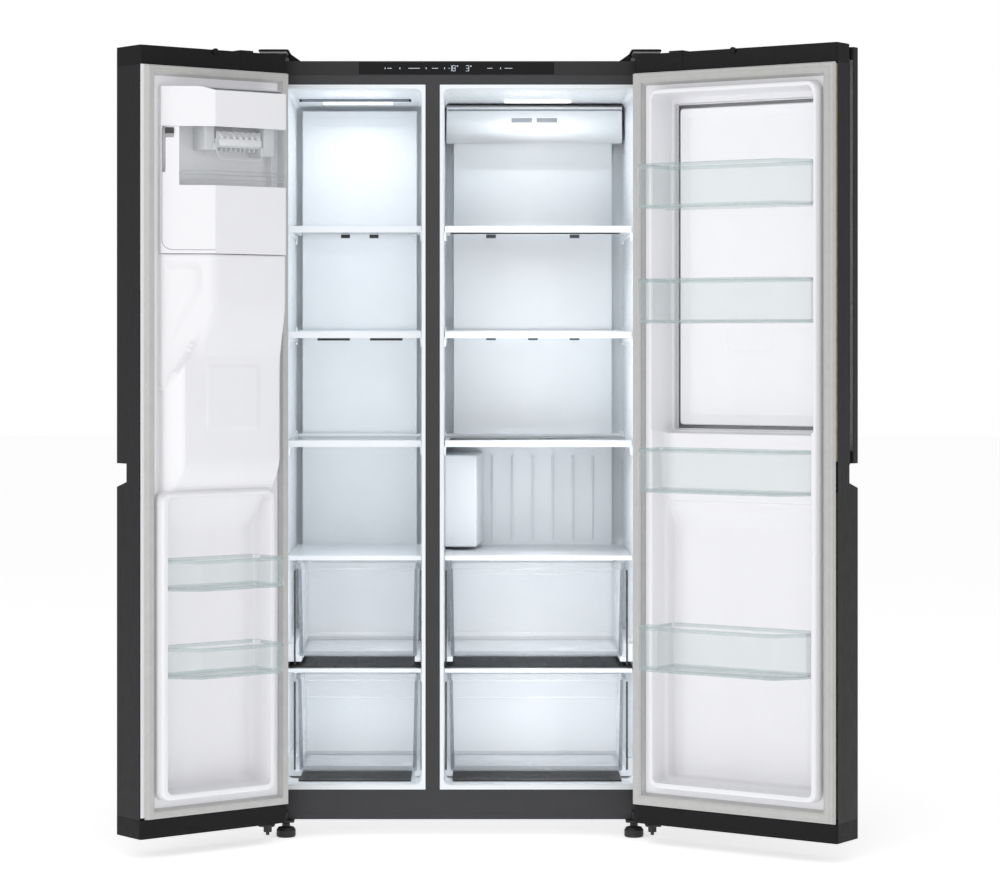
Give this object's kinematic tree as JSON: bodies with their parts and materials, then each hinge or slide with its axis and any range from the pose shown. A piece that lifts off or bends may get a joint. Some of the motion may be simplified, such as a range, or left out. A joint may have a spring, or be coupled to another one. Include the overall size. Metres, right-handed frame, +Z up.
{
  "type": "side by side refrigerator",
  "caption": "Side by side refrigerator with open hinged doors, a door-in-door panel, glass shelves, sliding drawers, door bins, a pull-out ice bin and a dispenser.",
  "frame": {"origin": "on the floor, in the middle of the cabinet's width, in the plane of the cabinet's front face that the doors close against", "axes": "+Z up, -Y out of the front towards the user, +X towards the fridge side (the user's right)"},
  "size_m": [1.6235, 1.0368, 1.79],
  "materials": {
    "case_paint": "satin",
    "rear_steel": "matte",
    "plate_steel": "matte",
    "frame_paint": "satin",
    "trim_plastic": "matte",
    "display_face": "gloss",
    "foam": "matte",
    "cabinet_liner": "satin",
    "duct_plastic": "satin",
    "lamp_plastic": "satin",
    "tank_plastic": "satin",
    "shelf_glass": "gloss",
    "shelf_trim": "satin",
    "rail_plastic": "satin",
    "drawer_clear": "gloss",
    "hinge_steel": "satin",
    "black_plastic": "matte",
    "hinge_paint": "satin",
    "foot_plastic": "matte",
    "roller_plastic": "satin",
    "compressor_paint": "satin",
    "condenser_paint": "satin",
    "fan_plastic": "satin",
    "evaporator_metal": "satin",
    "valve_plastic": "satin",
    "gland_rubber": "matte",
    "door_paint": "satin",
    "door_liner": "satin",
    "gasket_grey": "matte",
    "bin_clear": "gloss",
    "ice_white": "satin",
    "ice_maker_plastic": "satin",
    "ice_window": "gloss",
    "latch_plastic": "satin",
    "dispenser_plastic": "satin",
    "lever_plastic": "satin",
    "outer_liner": "satin",
    "outer_gasket": "matte",
    "door_foam": "matte"
  },
  "bodies": {
    "cabinet": {"cabinet_shell": "case_paint", "back_panel": "rear_steel", "bottom_plate": "plate_steel", "front_frame": "frame_paint", "top_trim": "trim_plastic", "display_panel": "display_face", "base_panel": "frame_paint", "insulation_foam": "foam", "freezer_liner": "cabinet_liner", "fridge_liner": "cabinet_liner", "freezer_duct_panel": "duct_plastic", "fridge_duct_panel": "duct_plastic", "lamp_lenses": "lamp_plastic", "water_tank": "tank_plastic", "shelf_glass": "shelf_glass", "shelf_trims": "shelf_trim", "freezer_drawer_shelves": "shelf_trim", "fridge_drawer_shelves": "shelf_trim", "drawer_rails": "rail_plastic", "top_hinge_brackets": "hinge_steel", "hinge_covers": "black_plastic", "bottom_hinge_brackets": "hinge_paint", "levelling_feet": "foot_plastic", "compressor": "compressor_paint", "condenser": "condenser_paint", "machine_cover": "rear_steel", "evaporator": "evaporator_metal", "water_valve": "valve_plastic", "power_inlet_gland": "gland_rubber"},
    "rollers": {"rear_rollers": "roller_plastic"},
    "condenser_fan": {"condenser_fan": "fan_plastic"},
    "evaporator_fan": {"evaporator_fan": "fan_plastic"},
    "freezer_door": {"freezer_door_panel": "door_paint", "freezer_door_trims": "black_plastic", "freezer_door_foam": "door_foam", "freezer_door_liner": "door_liner", "freezer_door_gasket": "gasket_grey", "freezer_door_bins": "bin_clear", "ice_maker_hood": "ice_white", "ice_maker": "ice_maker_plastic", "dispenser_housing": "dispenser_plastic"},
    "ice_bin": {"ice_bin": "ice_white", "ice_bin_window": "ice_window"},
    "ice_bin_latch": {"ice_bin_latch": "latch_plastic"},
    "dispenser_lever": {"dispenser_lever": "lever_plastic"},
    "drip_tray": {"drip_tray": "lever_plastic"},
    "fridge_door": {"fridge_door_panel": "door_paint", "fridge_door_trims": "black_plastic", "fridge_door_foam": "door_foam", "fridge_door_liner": "door_liner", "fridge_door_gasket": "gasket_grey", "fridge_door_bins": "bin_clear"},
    "outer_door": {"outer_door_panel": "door_paint", "outer_door_liner": "outer_liner", "outer_door_gasket": "outer_gasket"},
    "release_button": {"release_button": "latch_plastic"},
    "freezer_drawer_upper": {"freezer_drawer_upper": "drawer_clear"},
    "freezer_drawer_lower": {"freezer_drawer_lower": "drawer_clear"},
    "crisper_upper": {"crisper_upper": "drawer_clear"},
    "crisper_lower": {"crisper_lower": "drawer_clear"}
  },
  "joints": [
    {"name": "freezer_door_hinge", "type": "hinge", "parent": "cabinet", "child": "freezer_door", "pos_m": [-0.4355, -0.0643, 0.9], "axis": [0, 0, -1], "range_deg": [-141.5, 8.5]},
    {"name": "fridge_door_hinge", "type": "hinge", "parent": "cabinet", "child": "fridge_door", "pos_m": [0.4355, -0.0643, 0.9], "axis": [0, 0, 1], "range_deg": [-145, 5]},
    {"name": "outer_door_hinge", "type": "hinge", "parent": "fridge_door", "child": "outer_door", "pos_m": [0.44983, -0.02465, 1.3], "axis": [0, 0, 1], "range_deg": [0, 70]},
    {"name": "release_button_press", "type": "slide", "parent": "outer_door", "child": "release_button", "axis": [0, 0, 1], "range_m": [0, 0.005], "stiffness_N_per_m": 400, "springref_m": -0.002},
    {"name": "freezer_drawer_upper_slide", "type": "slide", "parent": "cabinet", "child": "freezer_drawer_upper", "axis": [0, -1, 0], "range_m": [0, 0.33]},
    {"name": "freezer_drawer_lower_slide", "type": "slide", "parent": "cabinet", "child": "freezer_drawer_lower", "axis": [0, -1, 0], "range_m": [0, 0.24]},
    {"name": "crisper_upper_slide", "type": "slide", "parent": "cabinet", "child": "crisper_upper", "axis": [0, -1, 0], "range_m": [0, 0.33]},
    {"name": "crisper_lower_slide", "type": "slide", "parent": "cabinet", "child": "crisper_lower", "axis": [0, -1, 0], "range_m": [0, 0.24]},
    {"name": "ice_bin_slide", "type": "slide", "parent": "freezer_door", "child": "ice_bin", "axis": [0.6225, -0.7826, 0], "range_m": [0, 0.16]},
    {"name": "ice_bin_latch_press", "type": "slide", "parent": "ice_bin", "child": "ice_bin_latch", "axis": [0, 0, -1], "range_m": [0, 0.006], "stiffness_N_per_m": 150, "springref_m": -0.002},
    {"name": "dispenser_lever_pivot", "type": "hinge", "parent": "freezer_door", "child": "dispenser_lever", "pos_m": [-0.56473, -0.18537, 1.168], "axis": [-0.7826, -0.6225, 0], "range_deg": [0, 8], "stiffness_Nm_per_rad": 1, "springref_deg": -5.73},
    {"name": "drip_tray_slide", "type": "slide", "parent": "freezer_door", "child": "drip_tray", "axis": [-0.6225, 0.7826, 0], "range_m": [0, 0.1]},
    {"name": "roller_spin", "type": "hinge", "parent": "cabinet", "child": "rollers", "pos_m": [0, 0.56, 0.021], "axis": [1, 0, 0], "continuous": true},
    {"name": "condenser_fan_spin", "type": "hinge", "parent": "cabinet", "child": "condenser_fan", "pos_m": [0.045, 0.525, 0.142], "axis": [1, 0, 0], "continuous": true},
    {"name": "evaporator_fan_spin", "type": "hinge", "parent": "cabinet", "child": "evaporator_fan", "pos_m": [-0.246, 0.52, 0.77], "axis": [0, 1, 0], "continuous": true}
  ]
}
